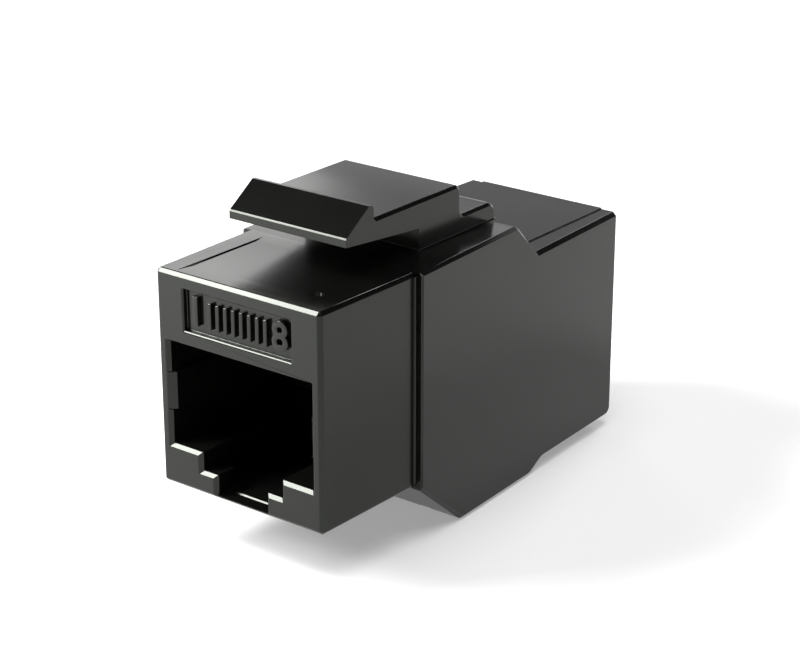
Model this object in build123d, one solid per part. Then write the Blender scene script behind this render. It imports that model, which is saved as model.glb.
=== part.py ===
from build123d import *
from math import radians, tan
import os

os.makedirs("parts", exist_ok=True)

# Black inline network coupler that snaps into a keystone opening, with one eight-way port at each end.
# Every piece is drawn with Y = 0 on the front face, Z = 0 under the nose and X = 0 on the middle plane,
# then moved so that the origin lies at the middle of the length, on the keel's underside.

# Overall. The nose sets the heights and widths, and two ports with the board between them set the length
nose_height = 15.9
port_depth = 13.3
board_space = 5.9
keel_depth = 4.4
overcut = 0.5

# Nose of the front housing
nose_face_width = 14.5
nose_length = 9.8
nose_draft_angle = 1.25
nose_chamfer = 0.27
nose_seam_chamfer = 0.12
seam_rim_rise = 0.06
seam_rim_length = 0.18
seam_groove_width = 0.2
seam_groove_depth = 0.06

# Rear housing
shoulder_step = 0.586
shoulder_rise = 0.1
rear_side_taper = 1.175
crest_setback = 11.95
slope_length = 2.85
rear_drop = 2.65
ramp_length = 5.2
keel_length = 9.1
keel_step_length = 1.7
keel_step_height = 0.8
front_chamfer = 0.12
body_chamfer = 0.24
rear_chamfer = 0.3
keel_front_round = 0.8
keel_step_round = 1.2
rear_heel_round = 0.8
top_panel_margin = 1.33
top_panel_rise = 0.1
keel_groove_offset = 4.55
keel_groove_width = 1.1
keel_groove_depth = 0.25

# Spigot behind the nose, which goes into the mouth of the rear housing
shoulder_wall = 1.2
spigot_floor_step = 0.7
spigot_top_step = 0.9
spigot_lap = 0.2
mouth_clearance = 0.05
ridge_height = 0.25
ridge_length = 0.8
ridge_setback = 1.6

# Shallow pocket and round mark on top of the nose
pocket_margin = 1.65
pocket_front = 1.9
pocket_ramp = 1.5
pocket_end_margin = 0.6
pocket_depth = 0.15
mark_radius = 0.35
mark_inset = 0.85
mark_depth = 0.08

# Recessed panel above the front port
panel_width = 9.45
panel_height = 2.98
panel_lift = 1.0
panel_depth = 0.4
panel_chamfer = 0.1

# Fixed catch under the nose, which hooks behind the lower edge of the opening
catch_width = 9.0
catch_height = 0.9
catch_length = 1.9
catch_gap = 1.65

# Port opening, the same in both housings apart from its side walls
port_wall = 1.0
rear_port_wall = 0.925
port_ledge = 3.1
port_lead_in = 0.28
port_latch_half_width = 3.55
port_latch_step = 1.75
port_tab_half_width = 2.2
port_floor = 0.37
lip_depth = 1.1
lip_drop = 0.14
catch_ledge_depth = 2.0
guide_rib_lift = 2.5
guide_rib_height = 2.8
guide_rib_rise = 0.25
guide_rib_lead = 0.5

# Header space above each port, for the contact tray
header_wall = 3.4
header_roof = 0.8
header_width = 10.3

# Latch
latch_width = 10.24
latch_rise = 3.6
latch_reach = 4.5
latch_lip_drop = 1.24
latch_lip_height = 0.6
wedge_length = 2.45
wedge_rise = 1.03
wedge_top_flat = 0.5
wedge_back_round = 0.3
hinge_setback = 3.4
hinge_radius = 1.0
hinge_clearance = 0.03
latch_chamfer = 0.22
root_plate_length = 4.85
root_plate_round = 0.55
root_step_height = 1.3
root_step_fillet = 0.4
root_overhang = 0.55
root_end_round = 0.9
root_overlap = 0.6

# Contact carrier, a tray and a back block, the same at both ends
carrier_side_step = 0.25
carrier_bottom = 1.3
carrier_headroom = 0.1
carrier_thickness = 1.8
carrier_clearance = 0.05
tray_side_gap = 0.15
tray_front_gap = 1.3
tray_headroom = 1.2
tray_thickness = 1.8
ceiling_gap = 0.34
groove_depth = 0.6
groove_clearance = 0.03
comb_margin = 0.9
comb_height = 3.4
comb_depth = 0.9
standoff_size = 1.2
standoff_offset = 4.9
standoff_lift = 1.0
peg_radius = 0.7
peg_offset = 4.2
peg_lift = 3.0
peg_length = 1.2

# Contact wires
contact_count = 8
contact_pitch = 1.016
wire_width = 0.46
wire_height = 0.3
wire_bend = 0.45
wire_front_gap = 0.25
wire_corner_drop = 0.36
wire_tip_drop = 3.56
wire_tip_reach = 0.5
row_step = 1.55
row_bend_gap = 0.9
pin_protrusion = 0.8

# Circuit board
board_thickness = 1.6
board_side_step = 0.25
board_floor_gap = 0.8
board_rise = 0.3
board_clearance = 0.1
pin_hole_clearance = 0.12
peg_hole_clearance = 0.05

# Derived places along the length
carrier_back = port_depth + carrier_thickness
spigot_end = carrier_back + spigot_lap
total_length = 2 * carrier_back + board_space
board_middle = total_length / 2
board_front = board_middle - board_thickness / 2
board_back = board_middle + board_thickness / 2
crest_y = nose_length + crest_setback
slope_toe = crest_y + slope_length
keel_front = nose_length + ramp_length
keel_end = keel_front + keel_length
latch_tip_y = nose_length - latch_reach
hinge_y = nose_length + hinge_setback
root_plate_end = hinge_y + root_plate_length
root_end = crest_y + root_overhang
tray_front = header_wall + tray_front_gap

# Derived widths
nose_root_width = nose_face_width + 2 * nose_length * tan(radians(nose_draft_angle))
shoulder_width = nose_root_width + 2 * shoulder_step
rear_width = shoulder_width - 2 * rear_side_taper
spigot_width = shoulder_width - 2 * shoulder_wall
port_width = nose_face_width - 2 * port_wall
rear_port_width = rear_width - 2 * rear_port_wall
guide_rib_gap = port_width - 2 * guide_rib_rise
carrier_width = port_width - 2 * carrier_side_step
tray_width = header_width - 2 * tray_side_gap
board_width = spigot_width - 2 * board_side_step
top_panel_width = rear_width - 2 * top_panel_margin

# Derived heights
shoulder_bottom = -shoulder_rise
body_top = nose_height + shoulder_rise
rear_top = nose_height - rear_drop
rear_bottom = keel_step_height - keel_depth
spigot_bottom = spigot_floor_step
spigot_top = nose_height - spigot_top_step
header_top = spigot_top - header_roof
carrier_top = header_top - carrier_headroom
tray_top = header_top - tray_headroom
tray_bottom = tray_top - tray_thickness
port_ceiling = tray_bottom - ceiling_gap
port_bottom = port_floor - lip_drop
panel_bottom = port_ceiling + panel_lift
guide_rib_bottom = port_ledge + guide_rib_lift
groove_floor = tray_top - groove_depth
wire_top_z = groove_floor + wire_height / 2
wire_corner_z = port_ceiling - wire_corner_drop
wire_tip_z = port_ceiling - wire_tip_drop
comb_bottom = wire_tip_z - comb_margin
standoff_z = carrier_bottom + standoff_lift
peg_z = carrier_bottom + peg_lift
board_bottom = rear_bottom + board_floor_gap
board_top = header_top + board_rise
plate_top = body_top + latch_rise
wedge_top = plate_top + wedge_rise
latch_lip_bottom = plate_top - latch_lip_drop
hinge_z = plate_top - hinge_radius
latch_root_bottom = plate_top - 2 * hinge_radius
root_step_top = body_top + root_step_height

# Places of the pieces that repeat, and of the whole coupler
rear_port_place = Pos(0, total_length, -rear_drop) * Rot(0, 0, 180)
row_frame = Pos(0, -total_length / 2, keel_depth)


def block(x0, x1, y0, y1, z0, z1):
    """Box between two corners."""
    return Pos((x0 + x1) / 2, (y0 + y1) / 2, (z0 + z1) / 2) * Box(x1 - x0, y1 - y0, z1 - z0)


def centred_block(width, y0, y1, z0, z1):
    """Box that is centred on the middle plane."""
    return block(-width / 2, width / 2, y0, y1, z0, z1)


def tapered_block(front_width, back_width, y0, y1, z0, z1):
    """Upright block whose sides draw in or out from y0 to y1."""
    outline = Polyline(
        (-front_width / 2, y0),
        (front_width / 2, y0),
        (back_width / 2, y1),
        (-back_width / 2, y1),
        close=True,
    )
    return Pos(0, 0, z0) * extrude(make_face(outline), amount=z1 - z0, dir=(0, 0, 1))


def side_profile(points, width):
    """Solid of constant width with its outline in the YZ plane."""
    outline = Polyline(*[(0, y, z) for y, z in points], close=True)
    return extrude(make_face(outline), amount=width / 2, dir=(1, 0, 0), both=True)


def edges_between(shape, axis, low, high):
    """Edges whose centre lies between two places along an axis."""
    return shape.edges().filter_by_position(axis, low, high)


def port_outline(width, ceiling_limit, grow):
    """Stepped opening of a port in the XZ plane: plug body above, latch and tab slots below."""
    half = width / 2 + grow
    latch = port_latch_half_width + grow
    tab = port_tab_half_width + grow
    right = [
        (half, ceiling_limit),
        (half, port_ledge - grow),
        (latch, port_ledge - grow),
        (latch, port_latch_step - grow),
        (tab, port_latch_step - grow),
        (tab, port_bottom),
    ]
    left = [(-x, z) for x, z in reversed(right)]
    return right + left


def port_section(width, y, grow):
    """Face of the port opening at a given depth."""
    points = [(x, y, z) for x, z in port_outline(width, port_ceiling, grow)]
    return make_face(Polyline(*points, close=True))


def port_cavity(width, with_guides):
    """Everything that is cut out of a housing for one port, seen from the port's own face."""
    mouth = extrude(port_section(width, 0, 0), amount=catch_ledge_depth, dir=(0, 1, 0))
    lead_in = loft(
        [port_section(width, -overcut, port_lead_in + overcut), port_section(width, port_lead_in, 0)]
    )
    body = centred_block(width, catch_ledge_depth, port_depth, port_ledge, port_ceiling)
    latch_slot = centred_block(
        2 * port_latch_half_width, catch_ledge_depth, port_depth, port_floor, port_ledge
    )
    header = centred_block(header_width, header_wall, port_depth, port_ceiling - overcut, header_top)
    seat = centred_block(
        carrier_width + 2 * carrier_clearance,
        port_depth,
        spigot_end + overcut,
        carrier_bottom - carrier_clearance,
        carrier_top + carrier_clearance,
    )
    floor_fill = side_profile(
        [
            (lip_depth, port_bottom - overcut),
            (lip_depth, port_bottom),
            (lip_depth + lip_drop, port_floor),
            (catch_ledge_depth, port_floor),
            (catch_ledge_depth, port_bottom - overcut),
        ],
        2 * port_tab_half_width,
    )
    cavity = mouth - floor_fill + lead_in + body + latch_slot + header + seat
    if with_guides:
        cavity = cavity - guide_ribs(width)
    return cavity


def guide_ribs(width):
    """Rib on each side wall that centres the plug, with a sloped front end."""
    outer = width / 2 + port_lead_in
    inner = guide_rib_gap / 2
    outline = Polyline(
        (inner, guide_rib_lead),
        (inner + guide_rib_lead + overcut, -overcut),
        (outer + overcut, -overcut),
        (outer + overcut, port_depth),
        (inner, port_depth),
        close=True,
    )
    rib = Pos(0, 0, guide_rib_bottom) * extrude(make_face(outline), amount=guide_rib_height, dir=(0, 0, 1))
    return rib + mirror(rib, about=Plane.YZ)


def nose_blank():
    """Drafted nose block with its chamfered edges."""
    nose = tapered_block(nose_face_width, nose_root_width, 0, nose_length, 0, nose_height)
    nose = chamfer(edges_between(nose, Axis.Y, -overcut, nose_length - overcut), nose_chamfer)
    back = nose.faces().sort_by(Axis.Y)[-1]
    return chamfer(back.edges(), nose_seam_chamfer)


def seam_strip(outline):
    """Upright strip on each side of the nose, from its outline in the XY plane on the right side."""
    height = nose_height - 2 * nose_chamfer
    face = make_face(Polyline(*outline, close=True))
    strip = Pos(0, 0, nose_chamfer) * extrude(face, amount=height, dir=(0, 0, 1))
    return strip + mirror(strip, about=Plane.YZ)


def with_seam_rim(nose):
    """Add a low rim on each side just before the seam, with a narrow groove in front of it."""
    rim_front = nose_length - seam_rim_length
    groove_front = rim_front - seam_groove_width
    rim_half = nose_root_width / 2 + seam_rim_rise
    foot_half = nose_root_width / 2 - seam_groove_depth
    slope = rim_half - foot_half
    groove = seam_strip(
        [
            (foot_half, groove_front + seam_groove_depth),
            (rim_half, groove_front - seam_rim_rise),
            (rim_half, rim_front),
            (foot_half, rim_front),
        ]
    )
    rim = seam_strip(
        [
            (spigot_width / 2, rim_front),
            (foot_half, rim_front),
            (rim_half, rim_front + slope),
            (rim_half, nose_length),
            (spigot_width / 2, nose_length),
        ]
    )
    return nose - groove + rim


def spigot():
    """Smaller tail that plugs into the rear housing, with a locking ridge above and below."""
    tail = centred_block(spigot_width, nose_length - overcut, spigot_end, spigot_bottom, spigot_top)
    ridge_y = nose_length + ridge_setback
    ridge = centred_block(
        header_width,
        ridge_y,
        ridge_y + ridge_length,
        spigot_bottom - ridge_height,
        spigot_top + ridge_height,
    )
    return tail + ridge


def fixed_catch():
    """Low tooth under the nose, sloped at the front and upright behind."""
    catch_end = nose_length - catch_gap
    return side_profile(
        [
            (catch_end - catch_length, overcut),
            (catch_end - catch_length, 0),
            (catch_end - catch_length / 3, -catch_height),
            (catch_end, -catch_height),
            (catch_end, overcut),
        ],
        catch_width,
    )


def front_housing():
    """Nose, spigot and front port in one moulding."""
    body = with_seam_rim(nose_blank()) + spigot() + fixed_catch()
    pocket_width = nose_face_width - 2 * pocket_margin
    pocket_floor = nose_height - pocket_depth
    pocket_end = nose_length - pocket_end_margin
    body -= side_profile(
        [
            (pocket_front - pocket_ramp, nose_height),
            (pocket_front, pocket_floor),
            (pocket_end, pocket_floor),
            (pocket_end, nose_height + overcut),
            (pocket_front - pocket_ramp, nose_height + overcut),
        ],
        pocket_width,
    )
    mark = Cylinder(mark_radius, mark_depth + overcut, align=(Align.CENTER, Align.CENTER, Align.MIN))
    body -= Pos(pocket_width / 2 - mark_inset, pocket_front + mark_inset, pocket_floor - mark_depth) * mark
    recess = centred_block(panel_width, -overcut, panel_depth, panel_bottom, panel_bottom + panel_height)
    body -= recess
    rim = edges_between(body, Axis.Y, -panel_chamfer, panel_chamfer)
    rim = rim.filter_by_position(Axis.Z, panel_bottom, panel_bottom + panel_height)
    rim = rim.filter_by(lambda e: abs(e.center().X) < nose_face_width / 2 - nose_chamfer - panel_chamfer)
    body = chamfer(rim, panel_chamfer)
    return body - port_cavity(port_width, True)


def rear_outline():
    """Side view of the rear housing, with the ramp and keel below and the crest above."""
    corners = [
        (nose_length, shoulder_bottom),
        (keel_front, -keel_depth),
        (keel_end, -keel_depth),
        (keel_end + keel_step_length, rear_bottom),
        (total_length, rear_bottom),
        (total_length, rear_top),
        (slope_toe, rear_top),
        (crest_y, body_top),
        (nose_length, body_top),
    ]
    face = make_face(Polyline(*[(0, y, z) for y, z in corners], close=True))
    rounds = [
        (1, keel_front_round),
        (2, keel_step_round),
        (3, keel_step_round),
        (4, rear_heel_round),
    ]
    for index, radius in rounds:
        y, z = corners[index]
        corner = face.vertices().sort_by_distance((0, y, z))[0]
        face = fillet(corner, radius)
    return face


def rear_shell():
    """Outside of the rear housing with its draft and its chamfered edges."""
    slab = extrude(rear_outline(), amount=shoulder_width, dir=(1, 0, 0), both=True)
    draft = tapered_block(
        shoulder_width, rear_width, nose_length, total_length, -keel_depth - overcut, body_top + overcut
    )
    shell = slab & draft
    flank = shell.edges().filter_by_position(Axis.Y, nose_length + body_chamfer, total_length - rear_chamfer)
    side_edges = flank.filter_by(lambda e: abs(e.center().X) > rear_width / 2 - rear_chamfer)
    low = -keel_depth - overcut
    bottom_edges = side_edges.filter_by_position(Axis.Z, low, shoulder_bottom - body_chamfer)
    low_top_edges = side_edges.filter_by_position(Axis.Z, rear_top - body_chamfer, rear_top + body_chamfer)
    low_top_edges = low_top_edges.filter_by_position(Axis.Y, slope_toe + body_chamfer, total_length)
    back_edges = shell.faces().sort_by(Axis.Y)[-1].edges()
    shell = chamfer(bottom_edges + low_top_edges + back_edges, rear_chamfer)
    crest_edges = edges_between(shell, Axis.Z, rear_top + body_chamfer, body_top + body_chamfer)
    crest_end = slope_toe - body_chamfer
    crest_edges = crest_edges.filter_by_position(Axis.Y, nose_length + body_chamfer, crest_end)
    shell = chamfer(crest_edges, body_chamfer)
    front_edges = shell.faces().sort_by(Axis.Y)[0].edges()
    return chamfer(front_edges, front_chamfer)


def rear_top_panel():
    """Slightly raised field on the low rear top, from the foot of the slope to the back edge."""
    return centred_block(
        top_panel_width,
        slope_toe - overcut,
        total_length - rear_chamfer,
        rear_top - overcut,
        rear_top + top_panel_rise,
    )


def keel_grooves():
    """Shallow groove near each side of the keel, open at its front edge."""
    groove = centred_block(
        keel_groove_width,
        nose_length,
        keel_end + keel_step_length,
        -keel_depth - overcut,
        keel_groove_depth - keel_depth,
    )
    groove = Pos(keel_groove_offset, 0, 0) * groove
    return groove + mirror(groove, about=Plane.YZ)


def latch_root():
    """Block behind the arm, with the seat that the arm's rounded root turns in."""
    low = body_top - root_overlap
    corners = [
        (hinge_y, low),
        (hinge_y, plate_top),
        (root_plate_end, plate_top),
        (root_plate_end, root_step_top),
        (root_end, root_step_top),
        (root_end, low),
    ]
    face = make_face(Polyline(*[(0, y, z) for y, z in corners], close=True))
    for index, radius in ((2, root_plate_round), (3, root_step_fillet), (4, root_end_round)):
        y, z = corners[index]
        face = fillet(face.vertices().sort_by_distance((0, y, z))[0], radius)
    root = extrude(face, amount=latch_width / 2, dir=(1, 0, 0), both=True)
    sides = root.edges().filter_by(lambda e: abs(e.center().X) > latch_width / 2 - latch_chamfer)
    sides = sides.filter_by_position(Axis.Z, body_top + latch_chamfer, plate_top + latch_chamfer)
    sides = sides.filter_by_position(Axis.Y, hinge_y + latch_chamfer, root_end - latch_chamfer / 4)
    root = chamfer(sides, latch_chamfer)
    seat = Pos(0, hinge_y, hinge_z) * Rot(0, 90, 0) * Cylinder(
        hinge_radius + hinge_clearance, latch_width + 2 * overcut
    )
    return root - seat


def latch_arm():
    """Arm with the wedge hook at its tip and a round root."""
    wedge_foot = latch_lip_bottom + latch_lip_height
    wedge_back = latch_tip_y + wedge_length + wedge_top_flat
    top = Line((0, wedge_back, plate_top), (0, hinge_y, plate_top))
    knuckle = ThreePointArc(
        (0, hinge_y, plate_top),
        (0, hinge_y + hinge_radius, hinge_z),
        (0, hinge_y, latch_root_bottom),
    )
    under = Polyline(
        (0, hinge_y, latch_root_bottom),
        (0, latch_tip_y, latch_lip_bottom),
        (0, latch_tip_y, wedge_foot),
        (0, latch_tip_y + wedge_length, wedge_top),
        (0, wedge_back, wedge_top),
        (0, wedge_back, plate_top),
    )
    face = make_face([top, knuckle, under])
    hook = face.vertices().sort_by_distance((0, wedge_back, wedge_top))[0]
    face = fillet(hook, wedge_back_round)
    arm = extrude(face, amount=latch_width / 2, dir=(1, 0, 0), both=True)
    sides = arm.edges().filter_by(lambda e: abs(e.center().X) > latch_width / 2 - latch_chamfer)
    sides = sides.filter_by_position(Axis.Y, wedge_back + latch_chamfer, hinge_y + hinge_radius)
    sides = sides.filter_by_position(Axis.Z, hinge_z - latch_chamfer / 3, plate_top + latch_chamfer)
    return chamfer(sides, latch_chamfer)


def rear_housing():
    """Body behind the shoulder, hollow for the board and carriers, with the rear port and latch root."""
    body = rear_shell() + rear_top_panel() + latch_root() - keel_grooves()
    mouth_gap = 2 * mouth_clearance
    mouth = centred_block(
        spigot_width + mouth_gap,
        nose_length - overcut,
        spigot_end + mouth_clearance,
        spigot_bottom - mouth_clearance,
        spigot_top + mouth_clearance,
    )
    ridge_y = nose_length + ridge_setback
    ridge_groove = centred_block(
        header_width + mouth_gap,
        ridge_y - mouth_clearance,
        ridge_y + ridge_length + mouth_clearance,
        spigot_bottom - ridge_height - mouth_clearance,
        spigot_top + ridge_height + mouth_clearance,
    )
    board_room = centred_block(
        board_width + 2 * board_clearance,
        spigot_end,
        total_length - carrier_back,
        board_bottom - board_clearance,
        board_top + board_clearance,
    )
    body -= mouth + ridge_groove + board_room
    return body - rear_port_place * port_cavity(rear_port_width, False)


def contact_places():
    """Middle of each contact across the port."""
    first = -(contact_count - 1) / 2 * contact_pitch
    return [first + index * contact_pitch for index in range(contact_count)]


def pin_row_z(index):
    """Height of a contact's pin: every second one is bent down to the lower row."""
    return wire_top_z - row_step * (index % 2)


def wire_channels(piece):
    """Cut the eight channels that the wires lie in through a tray or a block."""
    half = wire_width / 2 + groove_clearance
    for x in contact_places():
        piece -= block(x - half, x + half, tray_front, carrier_back + overcut, groove_floor, tray_top)
    return piece


def contact_tray():
    """Flat tray above the port's ceiling that carries the wires to the front, where they turn down."""
    return wire_channels(centred_block(tray_width, tray_front, port_depth, tray_bottom, tray_top))


def contact_block():
    """Back wall of a port, with a comb for the wire tips, and feet and pegs that hold the board."""
    wall = centred_block(carrier_width, port_depth, carrier_back, carrier_bottom, carrier_top)
    for side in (-1, 1):
        for foot_z in (standoff_z, tray_top):
            wall += Pos(side * standoff_offset, carrier_back, foot_z) * Box(
                standoff_size,
                board_front - carrier_back,
                standoff_size,
                align=(Align.CENTER, Align.MIN, Align.CENTER),
            )
        wall += Pos(side * peg_offset, board_front + peg_length, peg_z) * Rot(90, 0, 0) * Cylinder(
            peg_radius,
            board_front + peg_length - carrier_back,
            align=(Align.CENTER, Align.CENTER, Align.MIN),
        )
    half = wire_width / 2 + groove_clearance
    comb_top = comb_bottom + comb_height
    for x in contact_places():
        wall -= block(x - half, x + half, port_depth, port_depth + comb_depth, comb_bottom, comb_top)
    return wire_channels(wall)


def wire_path(index):
    """Middle line of one contact: pin, tray, turn over the front edge, then down and back to the tip."""
    pin_z = pin_row_z(index)
    pin_end = board_back + pin_protrusion
    bend_y = carrier_back + row_bend_gap
    front_y = tray_front - wire_front_gap - wire_height / 2
    points = [(0, pin_end, pin_z)]
    if pin_z < wire_top_z:
        points += [(0, bend_y, pin_z), (0, bend_y, wire_top_z)]
    points += [
        (0, front_y, wire_top_z),
        (0, front_y, wire_corner_z),
        (0, port_depth + wire_tip_reach, wire_tip_z),
    ]
    return FilletPolyline(*points, radius=wire_bend)


def contact(index):
    """One spring wire of rectangular section, swept along its path."""
    path = wire_path(index)
    section = Plane(origin=path @ 0, x_dir=(1, 0, 0), z_dir=path % 0) * Rectangle(wire_width, wire_height)
    wire = sweep(section, path=path)
    return Pos(contact_places()[index], 0, 0) * wire


def circuit_board():
    """Board with a slot for every pin and a round hole for every locating peg of the two carriers."""
    board = centred_block(board_width, board_front, board_back, board_bottom, board_top)
    pin_gap = 2 * pin_hole_clearance
    for place in (Pos(0, 0, 0), rear_port_place):
        slot = Box(wire_width + pin_gap, 2 * board_thickness, wire_height + pin_gap)
        for index, x in enumerate(contact_places()):
            board -= place * Pos(x, board_middle, pin_row_z(index)) * slot
        peg_drill = Rot(90, 0, 0) * Cylinder(peg_radius + peg_hole_clearance, 2 * board_thickness)
        for side in (-1, 1):
            board -= place * Pos(side * peg_offset, board_middle, peg_z) * peg_drill
    return board


def write(piece, name):
    """Move a finished piece into the row's frame and write it under its node name."""
    export_step(row_frame * piece, f"parts/{name}.step")


write(front_housing(), "front_housing")
write(rear_housing(), "rear_housing")
write(latch_arm(), "latch_arm")
write(contact_tray(), "front_contact_tray")
write(rear_port_place * contact_tray(), "rear_contact_tray")
write(contact_block(), "front_contact_block")
write(rear_port_place * contact_block(), "rear_contact_block")
write(circuit_board(), "circuit_board")
for number in range(contact_count):
    write(contact(number), f"front_contact_{number + 1}")
    write(rear_port_place * contact(number), f"rear_contact_{number + 1}")
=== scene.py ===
import bpy
import math
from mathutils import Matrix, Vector


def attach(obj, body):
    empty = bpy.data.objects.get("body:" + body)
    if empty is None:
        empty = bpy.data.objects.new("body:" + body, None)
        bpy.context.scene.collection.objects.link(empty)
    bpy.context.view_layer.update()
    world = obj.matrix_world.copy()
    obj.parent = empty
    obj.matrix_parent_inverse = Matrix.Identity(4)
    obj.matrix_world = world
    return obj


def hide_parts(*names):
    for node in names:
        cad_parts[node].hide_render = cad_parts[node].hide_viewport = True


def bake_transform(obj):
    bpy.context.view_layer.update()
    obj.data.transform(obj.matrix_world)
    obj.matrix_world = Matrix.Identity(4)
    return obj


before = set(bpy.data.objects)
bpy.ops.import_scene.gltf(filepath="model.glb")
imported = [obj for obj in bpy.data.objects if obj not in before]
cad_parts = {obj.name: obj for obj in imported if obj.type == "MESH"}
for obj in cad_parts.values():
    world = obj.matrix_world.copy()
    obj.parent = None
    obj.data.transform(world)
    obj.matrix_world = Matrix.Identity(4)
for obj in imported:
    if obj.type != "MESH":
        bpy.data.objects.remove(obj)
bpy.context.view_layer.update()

# Camera of the photograph: a long lens a hand's length away, in front and to the right of the coupler,
# looking down by about 21 degrees. The aim is the point of the coupler at the middle of the picture.
camera_azimuth = math.radians(37.687)
camera_elevation = math.radians(21.259)
camera_distance = 0.14765
camera_aim = Vector((0.00673, -0.00904, 0.01659))
camera_lens = 98.5
camera_back = Vector((
    math.sin(camera_azimuth) * math.cos(camera_elevation),
    -math.cos(camera_azimuth) * math.cos(camera_elevation),
    math.sin(camera_elevation),
))
bpy.ops.object.camera_add(location=camera_aim + camera_back * camera_distance)
camera = bpy.context.object
camera.name = "camera"
camera.rotation_euler = (-camera_back).to_track_quat("-Z", "Y").to_euler()
camera.data.lens = camera_lens
camera.data.clip_start = 0.01
camera.data.clip_end = 10
bpy.context.scene.camera = camera
bpy.context.scene.view_settings.view_transform = "Standard"


# Shader maths. A socket is wrapped so that an expression on it adds its Math nodes, and add() makes any
# other node from its settings and the values or links of its inputs.
class Socket:
    def __init__(self, tree, socket):
        self.tree = tree
        self.socket = socket

    def add(self, kind, output=0, settings=None, **inputs):
        node = self.tree.nodes.new("ShaderNode" + kind)
        for name, value in (settings or {}).items():
            setattr(node, name, value)
        for name, value in inputs.items():
            key = int(name[1:]) if name[0] == "i" and name[1:].isdigit() else name.replace("_", " ")
            if isinstance(value, Socket):
                self.tree.links.new(value.socket, node.inputs[key])
            else:
                node.inputs[key].default_value = value
        return Socket(self.tree, node.outputs[output])

    def math(self, operation, *values):
        inputs = {f"i{place}": value for place, value in enumerate(values)}
        return self.add("Math", settings={"operation": operation}, **inputs)

    def __add__(self, other):
        return self.math("ADD", self, other)

    def __radd__(self, other):
        return self.math("ADD", other, self)

    def __mul__(self, other):
        return self.math("MULTIPLY", self, other)

    def __rmul__(self, other):
        return self.math("MULTIPLY", other, self)


def new_material(name):
    material = bpy.data.materials.new(name)
    material.use_nodes = True
    material.node_tree.nodes.clear()
    out = material.node_tree.nodes.new("ShaderNodeOutputMaterial")
    return material, Socket(material.node_tree, out.inputs[0])


def wire_up(surface, shader):
    surface.tree.links.new(shader.socket, surface.socket)


# Table and backdrop: a white sheet that lies flat under the coupler and turns up into a low wall all round
# it. It is lifted a little for the camera and for reflections, so that it reads as white there. Close round
# the coupler the lift is weaker, which paints shade on the sheet there and darkens its reflection in the
# coupler's sides.
table_radius = 0.5
wall_height = 0.24
table_turn = 0.08
turn_steps = 8
sheet_white = (0.9, 0.9, 0.9, 1)
sheet_grey = (0.5, 0.5, 0.5, 1)
# weaker glow close to the coupler: painted shade on the sheet round it
near_glow_painted_shade = (0.38, 0.38, 0.38, 1)
sheet_lift = 0.8
glow_start = 0.07
glow_full = 0.16
bpy.ops.object.select_all(action="DESELECT")
bpy.ops.mesh.primitive_circle_add(vertices=96, radius=table_radius - table_turn, fill_type="NGON")
sheet = bpy.context.object
sheet.name = "table_sheet"
bpy.ops.object.mode_set(mode="EDIT")
bpy.ops.mesh.select_mode(type="EDGE")
bpy.ops.mesh.select_all(action="DESELECT")
bpy.ops.object.mode_set(mode="OBJECT")
for edge in sheet.data.edges:
    edge.select = True
bpy.ops.object.mode_set(mode="EDIT")
radius = table_radius - table_turn
for step in range(1, turn_steps + 1):
    angle = math.pi / 2 * step / turn_steps
    new_radius = table_radius - table_turn + table_turn * math.sin(angle)
    rise = table_turn * (math.cos(angle - math.pi / 2 / turn_steps) - math.cos(angle))
    bpy.ops.mesh.extrude_edges_move(TRANSFORM_OT_translate={"value": (0, 0, rise)})
    bpy.ops.transform.resize(value=(new_radius / radius, new_radius / radius, 1))
    radius = new_radius
bpy.ops.mesh.extrude_edges_move(TRANSFORM_OT_translate={"value": (0, 0, wall_height - table_turn)})
bpy.ops.object.mode_set(mode="OBJECT")
bpy.ops.object.shade_smooth()
material, surface = new_material("white_sheet")
coords = surface.add("TexCoord", output="Object")
height = surface.add("SeparateXYZ", output=2, Vector=coords)
fade = surface.add("Clamp", Value=height * (1 / table_turn))
tone = surface.add(
    "Mix", output=2, settings={"data_type": "RGBA"}, Factor=fade, i6=sheet_white, i7=sheet_grey
)
away = surface.add("VectorMath", output=1, settings={"operation": "LENGTH"}, i0=coords)
far = surface.add("MapRange", i0=away, i1=glow_start, i2=glow_full, i3=0.0, i4=1.0)
# the glow rises from the painted-shade level close to the coupler to the full sheet tone further out
glow_tone_with_painted_shade = surface.add(
    "Mix", output=2, settings={"data_type": "RGBA"}, Factor=far, i6=near_glow_painted_shade, i7=tone
)
diffuse = surface.add("BsdfDiffuse", Color=tone)
glow = surface.add("Emission", Color=glow_tone_with_painted_shade, Strength=sheet_lift)
lifted = surface.add("AddShader", i0=diffuse, i1=glow)
path = surface.add("LightPath")
camera_ray = Socket(path.tree, path.socket.node.outputs["Is Camera Ray"])
glossy_ray = Socket(path.tree, path.socket.node.outputs["Is Glossy Ray"])
clear_ray = Socket(path.tree, path.socket.node.outputs["Is Transmission Ray"])
seen = surface.math("MINIMUM", camera_ray + glossy_ray + clear_ray, 1.0)
wire_up(surface, surface.add("MixShader", i0=seen, i1=diffuse, i2=lifted))
sheet.data.materials.append(material)


# Light: a dim room and five square soft boxes. Two small ones close on the left in front show as white
# lines in the front edges, a wide one hangs overhead, and two stand behind and shine on the flat tops.
room_strength = 0.02
coupler_middle = Vector((0, 0, 0.015))


def soft_box(name, direction, distance, width, height, radiance):
    place = Vector(direction).normalized() * distance + coupler_middle
    bpy.ops.object.light_add(type="AREA", location=place)
    lamp = bpy.context.object
    lamp.name = name
    lamp.rotation_euler = Vector(direction).normalized().to_track_quat("Z", "Y").to_euler()
    lamp.data.shape = "RECTANGLE"
    lamp.data.size = width
    lamp.data.size_y = height
    lamp.data.energy = radiance * math.pi * width * height


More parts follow.
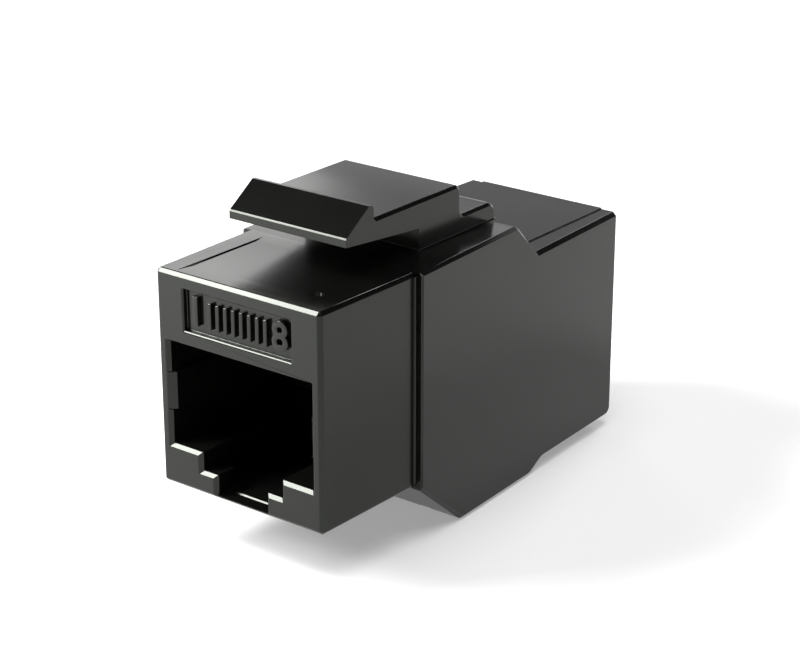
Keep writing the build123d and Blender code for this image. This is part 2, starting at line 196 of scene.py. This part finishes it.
world = bpy.data.worlds.new("room")
world.use_nodes = True
world.node_tree.nodes["Background"].inputs[0].default_value = (1, 1, 1, 1)
world.node_tree.nodes["Background"].inputs[1].default_value = room_strength
bpy.context.scene.world = world
soft_box("key_box", (-0.599, -0.474, 0.646), distance=0.168, width=0.052, height=0.052, radiance=40)
soft_box("front_box", (-0.579, -0.686, 0.437), distance=0.171, width=0.042, height=0.042, radiance=30)
soft_box("top_box", (0.16, -0.12, 0.98), distance=0.40, width=0.30, height=0.30, radiance=3.6)
soft_box("back_box", (-0.765, 0.600, 0.36), distance=0.40, width=0.15, height=0.15, radiance=2.1)
soft_box("rim_box", (-0.15, 0.85, 0.50), distance=0.40, width=0.10, height=0.10, radiance=8)


# Housings: two mouldings of black plastic that snap together at the seam behind the nose. The tool leaves
# every edge very slightly broken and a fine, even satin on the faces. On top, the pocket in the nose runs
# out at its rear end and the two mouldings meet flush.
front_edge = 0.00006
rear_edge = 0.00003
edge_steps = 2
narrow_share = 0.35
sharp_angle = math.radians(30)
flat_angle = math.radians(1)
same_place = 0.000001
plastic_black = (0.0035, 0.0035, 0.0033, 1)
plastic_glint = (0.95, 1.0, 0.90, 1)
pocket_low = (-0.0057, -0.0163, 0.02013)
pocket_high = (0.0057, -0.0086, 0.02017)
pocket_depth = 0.00015
pocket_fill = 0.00007
pocket_run_out = 0.0009
pocket_end = -0.00885
pocket_end_low = (-0.0057, pocket_end - 0.0001, 0.0202)
pocket_end_high = (0.0057, pocket_end + 0.0001, 0.02025)
nose_top = 0.0203
seam_low = (-0.0079, -0.0088, 0.0201)
seam_high = (0.0079, -0.0081, 0.0205)
shoulder_run_out = -0.0051


def moulded_plastic(name, colour, dull, shine):
    material, surface = new_material(name)
    coords = surface.add("TexCoord", output="Object")
    grain = surface.add("TexNoise", Vector=coords, Scale=5200.0, Detail=2.0, Roughness=0.5)
    flow = surface.add("TexNoise", Vector=coords, Scale=170.0, Detail=3.0, Roughness=0.5)
    bump = surface.add("Bump", Height=grain, Strength=0.06, Distance=0.00001)
    plastic = surface.add(
        "BsdfPrincipled", Base_Color=colour, Roughness=dull + flow * shine, Normal=bump, IOR=1.36,
        Specular_Tint=plastic_glint,
    )
    wire_up(surface, plastic)
    return material


def take_copy(node, name):
    bpy.ops.object.select_all(action="DESELECT")
    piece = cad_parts[node].copy()
    piece.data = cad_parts[node].data.copy()
    piece.parent = None
    piece.name = name
    piece.data.name = name
    bpy.context.scene.collection.objects.link(piece)
    piece.select_set(True)
    bpy.context.view_layer.objects.active = piece
    bpy.ops.mesh.customdata_custom_splitnormals_clear()
    bpy.ops.object.mode_set(mode="EDIT")
    bpy.ops.mesh.select_all(action="SELECT")
    bpy.ops.mesh.remove_doubles(threshold=same_place)
    bpy.ops.mesh.dissolve_limited(angle_limit=flat_angle)
    bpy.ops.object.mode_set(mode="OBJECT")
    return piece


def inside(place, low, high):
    return all(a < value < b for a, value, b in zip(low, place, high))


# Breaks every sharp edge of a piece. Edges of a narrow face get less, and the closed seam gets nothing.
def soften(piece, width, segments, sharp):
    bpy.ops.object.select_all(action="DESELECT")
    piece.select_set(True)
    bpy.context.view_layer.objects.active = piece
    bpy.ops.object.mode_set(mode="EDIT")
    bpy.ops.mesh.select_mode(type="EDGE")
    bpy.ops.mesh.select_all(action="DESELECT")
    bpy.ops.mesh.edges_select_sharp(sharpness=sharp)
    bpy.ops.transform.edge_bevelweight(value=1.0)
    bpy.ops.object.mode_set(mode="OBJECT")
    mesh = piece.data
    lengths = {}
    for edge in mesh.edges:
        ends = [mesh.vertices[index].co for index in edge.vertices]
        lengths[edge.key] = (ends[0] - ends[1]).length
    share = dict.fromkeys(lengths, 1.0)
    for face in mesh.polygons:
        for key in face.edge_keys:
            breadth = face.area / lengths[key]
            share[key] = min(share[key], narrow_share * breadth / width)
    weights = mesh.attributes["bevel_weight_edge"].data
    for edge in mesh.edges:
        on_seam = all(inside(mesh.vertices[index].co, seam_low, seam_high) for index in edge.vertices)
        weights[edge.index].value *= 0 if on_seam else share[edge.key]
        edge.use_edge_sharp = on_seam
    bevel = piece.modifiers.new("edges", "BEVEL")
    bevel.width = width
    bevel.segments = segments
    bevel.limit_method = "WEIGHT"
    bevel.miter_outer = "MITER_ARC"
    bevel.use_clamp_overlap = False
    bevel.harden_normals = True
    bpy.ops.object.shade_smooth()
    bpy.ops.object.modifier_apply(modifier=bevel.name)


def pick_box(piece, low, high):
    bpy.ops.object.mode_set(mode="EDIT")
    bpy.ops.mesh.select_mode(type="VERT")
    bpy.ops.mesh.select_all(action="DESELECT")
    bpy.ops.object.mode_set(mode="OBJECT")
    for vertex in piece.data.vertices:
        vertex.select = inside(vertex.co, low, high)
    bpy.ops.object.mode_set(mode="EDIT")


# Makes the pocket shallower, lets it run out at its rear end and closes the groove before the seam.
def smooth_nose_top(piece):
    pick_box(piece, pocket_low, pocket_high)
    bpy.ops.transform.translate(value=(0, 0, pocket_fill))
    bpy.ops.mesh.bisect(plane_co=(0, pocket_end - pocket_run_out, 0), plane_no=(0, 1, 0))
    bpy.ops.object.mode_set(mode="OBJECT")
    pick_box(piece, pocket_end_low, pocket_end_high)
    bpy.ops.transform.translate(value=(0, 0, pocket_depth - pocket_fill))
    bpy.ops.object.mode_set(mode="OBJECT")
    pick_box(piece, seam_low, seam_high)
    bpy.ops.transform.resize(value=(1, 1, 0), center_override=(0, 0, nose_top))
    bpy.ops.mesh.select_all(action="SELECT")
    bpy.ops.mesh.remove_doubles(threshold=2 * same_place)
    bpy.ops.mesh.dissolve_limited(angle_limit=flat_angle)
    bpy.ops.object.mode_set(mode="OBJECT")


# Brings the front of the rear housing's top down to the nose, sloping up from there to the latch's root.
def close_shoulder(piece):
    bpy.ops.object.mode_set(mode="EDIT")
    bpy.ops.mesh.select_all(action="SELECT")
    bpy.ops.mesh.bisect(plane_co=(0, shoulder_run_out, 0), plane_no=(0, 1, 0))
    bpy.ops.object.mode_set(mode="OBJECT")
    pick_box(piece, seam_low, seam_high)
    bpy.ops.transform.resize(value=(1, 1, 0), center_override=(0, 0, nose_top))
    bpy.ops.object.mode_set(mode="OBJECT")


black_plastic = moulded_plastic("black_plastic", plastic_black, dull=0.16, shine=0.08)
for node, edge_width in (("front_housing", front_edge), ("rear_housing", rear_edge)):
    shell = take_copy(node, node + "_shell")
    if node == "front_housing":
        smooth_nose_top(shell)
    else:
        close_shoulder(shell)
    soften(shell, edge_width, edge_steps, sharp_angle)
    shell.data.materials.clear()
    shell.data.materials.append(black_plastic)
    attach(shell, "coupler")
    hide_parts(node)


# Marks in the recess above the port: the tool leaves eight low bars there, one for each contact, between
# the plain numerals 1 and 8. They stand up from the floor of the recess in the same plastic.
row_shift = Vector((0, -0.01805, 0.0044))
recess_floor = 0.0004
mark_rise = 0.00033
mark_sink = 0.0001
mark_middle = 0.01335
bar_pitch = 0.0007
bar_width = 0.00032
bar_height = 0.0019
bar_round = 0.00007
bar_steps = 3
numeral_offset = 0.00372
numeral_size = 0.0028
numeral_edge = 0.00005
numeral_bold = 0.00004


def block(name, x, y, z):
    bpy.ops.object.select_all(action="DESELECT")
    bpy.ops.mesh.primitive_cube_add(
        size=1,
        location=row_shift + Vector((sum(x) / 2, sum(y) / 2, sum(z) / 2)),
        scale=(x[1] - x[0], y[1] - y[0], z[1] - z[0]),
    )
    piece = bpy.context.object
    piece.name = name
    piece.data.name = name
    bpy.ops.object.transform_apply(location=True, rotation=True, scale=True)
    return piece


mark_y = (recess_floor - mark_rise, recess_floor + mark_sink)
marks = []
for place in range(8):
    x = (place - 3.5) * bar_pitch
    bar = block(
        f"bar_{place + 1}", (x - bar_width / 2, x + bar_width / 2), mark_y,
        (mark_middle - bar_height / 2, mark_middle + bar_height / 2),
    )
    soften(bar, bar_round, bar_steps, sharp_angle)
    marks.append(bar)
for numeral, side in (("1", -1), ("8", 1)):
    bpy.ops.object.select_all(action="DESELECT")
    bpy.ops.object.text_add(
        location=row_shift + Vector((side * numeral_offset, recess_floor - mark_rise / 2, mark_middle)),
        rotation=(math.pi / 2, 0, 0),
    )
    text = bpy.context.object
    text.data.body = numeral
    text.data.size = numeral_size
    text.data.align_x = "CENTER"
    text.data.align_y = "CENTER"
    text.data.extrude = mark_rise / 2 - numeral_edge
    text.data.offset = numeral_bold
    text.data.bevel_depth = numeral_edge
    text.data.bevel_resolution = edge_steps
    bpy.ops.object.convert(target="MESH")
    text = bpy.context.object
    bpy.ops.object.transform_apply(location=True, rotation=True, scale=True)
    bpy.ops.object.mode_set(mode="EDIT")
    bpy.ops.mesh.select_all(action="SELECT")
    bpy.ops.mesh.remove_doubles(threshold=same_place)
    bpy.ops.mesh.normals_make_consistent(inside=False)
    bpy.ops.object.mode_set(mode="OBJECT")
    bpy.ops.object.shade_smooth_by_angle(angle=sharp_angle)
    marks.append(text)
bpy.ops.object.select_all(action="DESELECT")
for mark in marks:
    mark.select_set(True)
bpy.context.view_layer.objects.active = marks[0]
bpy.ops.object.join()
marks = bpy.context.object
marks.name = "recess_marks"
marks.data.name = "recess_marks"
marks.data.materials.clear()
marks.data.materials.append(black_plastic)
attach(marks, "coupler")


# Latch: a springy arm with a wedge hook, moulded in one with the block on top of the rear housing. Extra
# loops are cut across the arm just in front of the block, where the real arm bends when it is pressed down
# to let the coupler out of its opening.
# The side view's corners, the loops and the limits for picking edges are in mm in the part's own frame.
latch_half_width = 0.00512
latch_cover = 0.000015
root_foot_front = (13.18, 16.07)
root_front = (13.18, 17.6)
lip_bottom = (5.3, 18.36)
lip_top = (5.3, 18.96)
wedge_front = (7.75, 20.63)
wedge_back = (8.25, 20.63)
arm_front = (8.25, 19.615)
arm_end = (18.065, 19.615)
step_corner = (18.065, 17.315)
root_end = (22.315, 17.315)
root_foot_end = (22.315, 16.07)
latch_side = (
    root_foot_front, root_front, lip_bottom, lip_top, wedge_front, wedge_back, arm_front, arm_end,
    step_corner, root_end, root_foot_end,
)
wedge_back_round = 0.0003
arm_end_round = 0.00055
step_fillet = 0.0004
root_end_round = 0.0009
latch_edge = 0.00003
latch_sharp = math.radians(20)
latch_chamfer = 0.00022
chamfer_start = 8.45
arm_rim_front = 8.3
arm_rim_back = 13.3
arm_rim_low = 19
foot_line = 16.08
rim_side = 5
near = 0.01
lip_chamfer = 0.00008
foot_width = 2 * (latch_half_width + latch_cover)
foot_length = (root_foot_end[0] - root_foot_front[0]) / 1000
foot_middle = (root_foot_end[0] + root_foot_front[0]) / 2000
foot_flare = 0.00008
foot_sink = 0.00006
bend_start = 13.1
bend_end = 10.9
bend_loops = 10


def draw_side(name, half_width, outline):
    points = [Vector((-half_width, y / 1000, z / 1000)) + row_shift for y, z in outline]
    bpy.ops.object.select_all(action="DESELECT")
    bpy.ops.mesh.primitive_plane_add(size=0.001, location=points[0])
    piece = bpy.context.object
    piece.name = name
    piece.data.name = name
    bpy.ops.object.mode_set(mode="EDIT")
    bpy.ops.mesh.select_mode(type="VERT")
    bpy.ops.mesh.select_all(action="SELECT")
    bpy.ops.mesh.merge(type="CENTER")
    for here, there in zip(points, points[1:]):
        bpy.ops.mesh.extrude_vertices_move(TRANSFORM_OT_translate={"value": there - here})
    bpy.ops.mesh.select_all(action="SELECT")
    bpy.ops.mesh.edge_face_add()
    bpy.ops.mesh.extrude_region_move(TRANSFORM_OT_translate={"value": (2 * half_width, 0, 0)})
    bpy.ops.mesh.select_all(action="SELECT")
    bpy.ops.mesh.normals_make_consistent(inside=False)
    bpy.ops.object.mode_set(mode="OBJECT")
    bpy.ops.object.transform_apply(location=True, rotation=True, scale=True)
    return piece


def pick_edges(piece, wanted):
    bpy.ops.object.mode_set(mode="EDIT")
    bpy.ops.mesh.select_mode(type="EDGE")
    bpy.ops.mesh.select_all(action="DESELECT")
    bpy.ops.object.mode_set(mode="OBJECT")
    corners = [(vertex.co - row_shift) * 1000 for vertex in piece.data.vertices]
    for edge in piece.data.edges:
        ends = [corners[index] for index in edge.vertices]
        edge.select = wanted((ends[0] + ends[1]) / 2, ends[1] - ends[0])


def round_edges(piece, radius, segments, wanted):
    pick_edges(piece, wanted)
    bpy.ops.object.mode_set(mode="EDIT")
    bpy.ops.mesh.bevel(offset=radius, segments=segments, profile=0.5, affect="EDGES", clamp_overlap=False)
    bpy.ops.object.mode_set(mode="OBJECT")


def across_at(corner):
    y, z = corner
    return lambda middle, run: abs(middle.y - y) < near and abs(middle.z - z) < near and abs(run.x) > 1


def on_plate_rim(middle, run):
    on_side = abs(middle.x) > rim_side and abs(run.x) < near
    on_arm = arm_rim_front < middle.y < arm_rim_back and middle.z > arm_rim_low
    on_block = middle.y > arm_rim_back and middle.z > foot_line
    return on_side and (on_arm or on_block)


def flare_foot(piece):
    pick_edges(piece, lambda middle, run: middle.z < foot_line)
    bpy.ops.object.mode_set(mode="EDIT")
    bpy.ops.mesh.select_mode(type="FACE")
    bpy.ops.mesh.extrude_region_move(TRANSFORM_OT_translate={"value": (0, 0, -foot_flare)})
    wider = (1 + 2 * foot_flare / foot_width, 1 + 2 * foot_flare / foot_length, 1)
    middle = Vector((0, foot_middle, 0.016)) + row_shift
    bpy.ops.transform.resize(value=wider, center_override=middle)
    bpy.ops.mesh.extrude_region_move(TRANSFORM_OT_translate={"value": (0, 0, -foot_sink)})
    bpy.ops.object.mode_set(mode="OBJECT")


def cut_loops(piece, places):
    bpy.ops.object.mode_set(mode="EDIT")
    for y in places:
        bpy.ops.mesh.select_all(action="SELECT")
        bpy.ops.mesh.bisect(plane_co=Vector((0, y / 1000, 0)) + row_shift, plane_no=(0, 1, 0))
    bpy.ops.object.mode_set(mode="OBJECT")


latch = draw_side("latch_moulding", foot_width / 2, latch_side)
round_edges(latch, wedge_back_round, 6, across_at(wedge_back))
round_edges(latch, arm_end_round, 6, across_at(arm_end))
round_edges(latch, step_fillet, 5, across_at(step_corner))
round_edges(latch, root_end_round, 8, across_at(root_end))
round_edges(latch, lip_chamfer, 1, across_at(lip_top))
cut_loops(latch, [chamfer_start])
cut_loops(latch, [bend_end + (bend_start - bend_end) * step / bend_loops for step in range(bend_loops + 1)])
round_edges(latch, latch_chamfer, 1, on_plate_rim)
flare_foot(latch)
soften(latch, latch_edge, edge_steps, latch_sharp)
latch.data.materials.append(black_plastic)
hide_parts("latch_arm")
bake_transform(latch)


# Contact carriers: a flat tray above each port and the wall behind it, moulded in black glass-filled
# plastic that is duller than the housings. They are pressed into the housings and carry the wires.
carrier_black = (0.014, 0.0138, 0.0132, 1)
carrier_plastic = moulded_plastic("carrier_plastic", carrier_black, dull=0.38, shine=0.16)
for end in ("front", "rear"):
    for part in ("contact_tray", "contact_block"):
        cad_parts[f"{end}_{part}"].data.materials[0] = carrier_plastic


# Contact wires: phosphor bronze, plated with gold where the plug touches them. Drawing leaves faint lines
# along the wire, and the plating's tone varies a little from place to place.
gold_bright = (0.93, 0.66, 0.27, 1)
gold_deep = (0.74, 0.47, 0.16, 1)
material, surface = new_material("gold_plate")
coords = surface.add("TexCoord", output="Object")
lines = surface.add("Mapping", Vector=coords, Scale=(14000.0, 900.0, 900.0))
drawn = surface.add("TexNoise", Vector=lines, Scale=1.0, Detail=3.0, Roughness=0.6)
cloud = surface.add("TexNoise", Vector=coords, Scale=900.0, Detail=2.0, Roughness=0.5)
tone = surface.add(
    "Mix", output=2, settings={"data_type": "RGBA"}, Factor=cloud, i6=gold_bright, i7=gold_deep
)
bump = surface.add("Bump", Height=drawn, Strength=0.12, Distance=0.000004)
gold = surface.add(
    "BsdfPrincipled", Base_Color=tone, Metallic=1.0, Roughness=0.16 + drawn * 0.14, Normal=bump
)
wire_up(surface, gold)
for end in ("front", "rear"):
    for place in range(1, 9):
        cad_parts[f"{end}_contact_{place}"].data.materials[0] = material


# Circuit board: glass cloth and resin under green lacquer, pressed over the pins of both carriers inside
# the housing. The weave shows faintly through the lacquer.
lacquer_green = (0.012, 0.085, 0.035, 1)
lacquer_dark = (0.008, 0.055, 0.022, 1)
material, surface = new_material("board_lacquer")
coords = surface.add("TexCoord", output="Object")
weave_x = surface.add("TexWave", settings={"bands_direction": "X"}, Vector=coords, Scale=900.0)
weave_z = surface.add("TexWave", settings={"bands_direction": "Z"}, Vector=coords, Scale=900.0)
weave = weave_x * 0.5 + weave_z * 0.5
tone = surface.add(
    "Mix", output=2, settings={"data_type": "RGBA"}, Factor=weave, i6=lacquer_dark, i7=lacquer_green
)
bump = surface.add("Bump", Height=weave, Strength=0.15, Distance=0.00001)
wire_up(surface, surface.add("BsdfPrincipled", Base_Color=tone, Roughness=0.22 + weave * 0.08, Normal=bump))
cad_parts["circuit_board"].data.materials[0] = material
